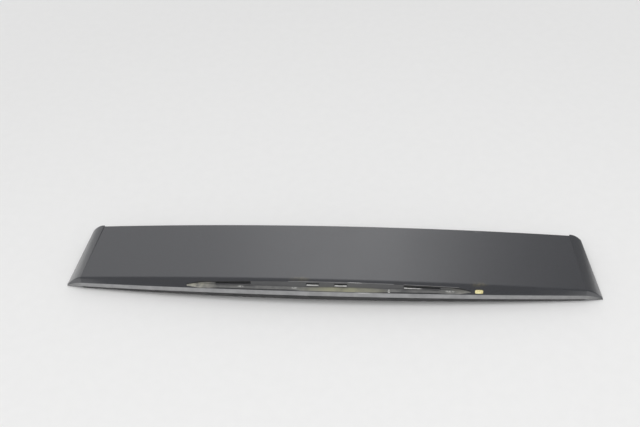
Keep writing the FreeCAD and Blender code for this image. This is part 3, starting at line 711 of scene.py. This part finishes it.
def buildSkin():
    stations = skinStations()
    obj, spots = gridSkin(stations)
    markFaces(obj.data, spots, stations)
    editChosen(obj, "FACE", bpy.ops.mesh.delete, type="FACE")
    thickenSkin(obj)
    roundAndLightRoofEdge(obj)
    applyModifier(obj, "BEVEL", width=skin["bevel"], segments=2, limit_method="ANGLE",
                  angle_limit=math.radians(skin["bevelAngle"]), use_clamp_overlap=True)
    joinInto(obj, addLedges())
    dressSlots(obj.data)
    smooth(obj, skin["smoothAngle"])
    applyModifier(obj, "WEIGHTED_NORMAL", keep_sharp=True, weight=100)
    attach(obj, "root")
    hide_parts("upper_skin")
    print("upper skin", len(obj.data.polygons), "faces")


buildSkin()


# a patch of old adhesive on the band
patch = {
    "x": (0.3142, 0.3312), "band": (0.53, 0.88), "corner": 0.84, "thick": 0.0004, "offset": 0.5, "cuts": 6,
    "bevel": 0.0001, "angle": 40,
}


def buildPatch():
    deselectAll()
    bpy.ops.mesh.primitive_grid_add(x_subdivisions=patch["cuts"], y_subdivisions=patch["cuts"], size=2)
    obj = bpy.context.object
    obj.name = "adhesivePatch"
    for vertex in obj.data.vertices:
        if min(abs(vertex.co.x), abs(vertex.co.y)) > 0.99:    # the four corners are drawn in
            vertex.co *= patch["corner"]
        x = patch["x"][0] + (patch["x"][1] - patch["x"][0]) * (vertex.co.x + 1) / 2
        down = patch["band"][0] + (patch["band"][1] - patch["band"][0]) * (1 - vertex.co.y) / 2
        y, z = lerp(edge("crease", x), edge("foot", x), down)
        vertex.co = (x, y, z)
    if sum(face.normal.y for face in obj.data.polygons) > 0:
        editTool(obj, bpy.ops.mesh.flip_normals)
    applyModifier(obj, "SOLIDIFY", thickness=patch["thick"], offset=patch["offset"])
    applyModifier(obj, "BEVEL", width=patch["bevel"], segments=2, limit_method="ANGLE")
    smooth(obj, patch["angle"])
    obj.data.materials.append(looks["tape"])
    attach(obj, "root")
    print("adhesive patch", len(obj.data.polygons), "faces")


buildPatch()


# lower shell: the same moulding with its faces joined and its turns shaded smooth
shell = {"node": "lower_shell", "merge": 0.00001, "angle": 32}


def buildShell():
    node = nodes[shell["node"]]
    obj = bpy.data.objects.new("lowerShell", node.data.copy())
    scene.collection.objects.link(obj)
    obj.data.transform(node.matrix_world)
    editTool(obj, bpy.ops.mesh.remove_doubles, threshold=shell["merge"])
    smooth(obj, shell["angle"])
    applyModifier(obj, "WEIGHTED_NORMAL", keep_sharp=True, weight=100)
    obj.data.materials.clear()
    obj.data.materials.append(looks["plastic"])
    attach(obj, "root")
    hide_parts(shell["node"])
    print("lower shell", len(obj.data.polygons), "faces")


buildShell()


# fixing studs with a rolled thread
stud = {
    "x": [0.120, 0.280, 0.430], "y": 0.042, "land": (0.042, -0.034), "seat": 0.002, "length": 0.0219,
    "shoulder": 0.0034, "shoulderReach": 0.0044, "head": 0.0058, "headHigh": 0.003, "headRise": 0.0075,
    "major": 0.003, "minor": 0.00245, "pitch": 0.001, "crest": (0.45, 0.55), "threadSteps": 20,
    "point": 0.0012, "pointTaper": 0.0008, "sides": 32, "headSides": 6, "bevel": 0.0003, "angle": 30,
    "merge": 0.000001,
}


def windThread(length):
    # one tooth, wound up the shank
    pitch = stud["pitch"]
    start, end = stud["crest"]
    tooth = [(stud["minor"], 0), (stud["major"], pitch * start),
             (stud["major"], pitch * end), (stud["minor"], pitch)]
    deselectAll()
    bpy.ops.mesh.primitive_circle_add(vertices=len(tooth), fill_type="NOTHING")
    obj = bpy.context.object
    clearChoice(obj.data)
    for line in obj.data.edges:
        if set(line.vertices) == {0, len(tooth) - 1}:         # the ring is opened between its ends
            chooseEdge(obj.data, line)
    editChosen(obj, "EDGE", bpy.ops.mesh.delete, type="EDGE")
    for vertex, (radius, height) in zip(obj.data.vertices, tooth):
        vertex.co = (radius, 0, height)
    applyModifier(obj, "SCREW", axis="Z", screw_offset=pitch, iterations=int(length / pitch),
                  steps=stud["threadSteps"], render_steps=stud["threadSteps"],
                  use_merge_vertices=True, merge_threshold=stud["merge"], use_smooth_shade=True)
    return obj


def addRound(sides, radius, x, low, high):
    deselectAll()
    bpy.ops.mesh.primitive_cylinder_add(vertices=sides, radius=radius, depth=high - low,
                                        location=(x, stud["y"], (low + high) / 2))
    obj = bpy.context.object
    bpy.ops.object.transform_apply(location=True)
    applyModifier(obj, "BEVEL", width=stud["bevel"], segments=2, limit_method="ANGLE")
    return obj


def addPoint(x, bottom):
    deselectAll()
    bpy.ops.mesh.primitive_cone_add(vertices=stud["sides"], radius1=stud["minor"] - stud["pointTaper"],
                                    radius2=stud["minor"], depth=stud["point"],
                                    location=(x, stud["y"], bottom + stud["point"] / 2))
    bpy.ops.object.transform_apply(location=True)
    return bpy.context.object


def buildStud(x):
    seat = stud["land"][0] + stud["land"][1] * (x / skin["half"]) ** 2 - stud["seat"]
    bottom = seat - stud["length"]
    top = seat + stud["headRise"]
    obj = windThread(stud["length"] - stud["point"] - stud["shoulderReach"])
    for vertex in obj.data.vertices:
        vertex.co += Vector((x, stud["y"], bottom + stud["point"]))
    # core, shoulder, the hexagon head inside the boss, and the point
    core = addRound(stud["sides"], stud["minor"], x, bottom + stud["point"], seat)
    shoulder = addRound(stud["sides"], stud["shoulder"], x, seat - stud["shoulderReach"], top)
    head = addRound(stud["headSides"], stud["head"], x, top, top + stud["headHigh"])
    joinInto(obj, [core, shoulder, head, addPoint(x, bottom)])
    return obj


def buildStuds():
    studs = [buildStud(side * x) for side in (-1, 1) for x in stud["x"]]
    obj = studs[0]
    joinInto(obj, studs[1:])
    obj.name = "fixingStuds"
    editTool(obj, bpy.ops.mesh.normals_make_consistent, inside=False)
    smooth(obj, stud["angle"])
    obj.data.materials.clear()
    obj.data.materials.append(looks["zinc"])
    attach(obj, "root")
    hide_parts("mounting_studs")
    print("fixing studs", len(obj.data.polygons), "faces")


buildStuds()

# foam pieces stay as modelled, with a cellular finish
for name, node in nodes.items():
    if name.startswith(foam["nodes"]):
        node.data.materials.clear()
        node.data.materials.append(looks["foam"])
print("foam finished")


# floor and light
studio = {
    "floor": (0.86, 0.86, 0.858, 1), "fleck": (0.8471, 0.8471, 0.84513, 1), "grain": (40.0, 3.0, 0.3, 0.7),
    "roughness": 0.8, "size": 60.0, "drop": 0.0002,
    "fadeAhead": (-0.11, -0.26, 0.0, 0.92), "fadeAside": (0.60, 0.72, 0.0, 0.65),    # of its mirror image
    "blend": (1.2, 4.5), "backdrop": 0.88, "fill": 0.55,
    "gloss": (-0.75, 0.25, 0.2, 1.45), "span": (-0.5, 0.5),    # what the gloss mirrors, from behind to ahead
    "sweep": [(0.06, 0.45), (0.22, 0.52), (0.31, 0.72), (0.46, 1.0), (0.53, 1.0), (0.60, 0.80), (0.70, 0.36),
              (0.79, 0.20), (0.90, 0.12)],                # and its share from left to right
    "keyPlace": (0.3, -3.0, 5.6), "keySize": (8.0, 5.0), "keyPower": 270.0,
}


def floorMaterial():
    material, tree, shader = newMaterial("floorPaper")
    paper = mixColor(tree, speckle(tree, studio["grain"]), studio["fleck"], studio["floor"])
    rays = addNode(tree, "ShaderNodeLightPath").outputs
    place = split(tree, objectPlace(tree))
    ahead = remap(tree, place["Y"], *studio["fadeAhead"])
    aside = remap(tree, place["X"], *studio["fadeAside"])
    faded = times(tree, rays["Is Glossy Ray"], most(tree, ahead, aside))
    tree.links.new(mixColor(tree, faded, paper, (0, 0, 0, 1)), shader.inputs["Base Color"])
    shader.inputs["Roughness"].default_value = studio["roughness"]
    # far away it takes on the backdrop's tone, so that no horizon shows
    reach = addNode(tree, "ShaderNodeVectorMath", {0: objectPlace(tree)}, operation="LENGTH").outputs["Value"]
    far = times(tree, rays["Is Camera Ray"], remap(tree, reach, *studio["blend"]))
    haze = addNode(tree, "ShaderNodeEmission", {"Strength": studio["backdrop"]})
    seen = addNode(tree, "ShaderNodeMixShader", {0: far, 1: shader.outputs[0], 2: haze.outputs[0]})
    # clear from below
    under = addNode(tree, "ShaderNodeNewGeometry").outputs["Backfacing"]
    clear = addNode(tree, "ShaderNodeBsdfTransparent")
    oneSided = addNode(tree, "ShaderNodeMixShader", {0: under, 1: seen.outputs[0], 2: clear.outputs[0]})
    tree.links.new(oneSided.outputs[0], tree.nodes["Material Output"].inputs["Surface"])
    return material


def buildFloor():
    deselectAll()
    bpy.ops.mesh.primitive_plane_add(size=studio["size"], location=(0, 0, -studio["drop"]))
    floor = bpy.context.object
    floor.name = "studioFloor"
    floor.data.materials.append(floorMaterial())


def sweepRamp(tree, along):
    ramp = addNode(tree, "ShaderNodeValToRGB", {"Fac": remap(tree, along, *studio["span"])})
    ramp.color_ramp.interpolation = "B_SPLINE"
    stops = ramp.color_ramp.elements
    stops[0].position = studio["sweep"][0][0]
    stops[1].position = studio["sweep"][-1][0]
    for place, share in studio["sweep"][1:-1]:
        stops.new(place)
    for stop, (place, share) in zip(stops, studio["sweep"]):
        stop.color = (share, share, share, 1)
    return ramp.outputs["Color"]


def buildWorld():
    # even fill for matt faces, the sweep for gloss, the backdrop for the camera
    scene.world = bpy.data.worlds.new("studioWorld")
    scene.world.use_nodes = True
    tree = scene.world.node_tree
    direction = split(tree, addNode(tree, "ShaderNodeTexCoord").outputs["Generated"])
    gloss = times(tree, remap(tree, direction["Y"], *studio["gloss"]), sweepRamp(tree, direction["X"]))
    rays = addNode(tree, "ShaderNodeLightPath").outputs
    lit = addNode(tree, "ShaderNodeMix", {0: rays["Is Glossy Ray"], 2: studio["fill"], 3: gloss}).outputs[0]
    seen = addNode(tree, "ShaderNodeMix", {0: rays["Is Camera Ray"], 2: lit, 3: studio["backdrop"]})
    tree.links.new(seen.outputs[0], tree.nodes["Background"].inputs["Strength"])
    tree.nodes["Background"].inputs["Color"].default_value = (1, 1, 1, 1)


def addKeyLight():
    deselectAll()
    bpy.ops.object.light_add(type="AREA", location=studio["keyPlace"])
    key = bpy.context.object
    key.data.shape = "RECTANGLE"
    key.data.size, key.data.size_y = studio["keySize"]
    key.data.energy = studio["keyPower"]
    key.visible_glossy = False
    key.rotation_euler = (-Vector(studio["keyPlace"])).to_track_quat("-Z", "Y").to_euler()


buildFloor()
buildWorld()
addKeyLight()
scene.view_settings.view_transform = "Standard"
print("studio set")
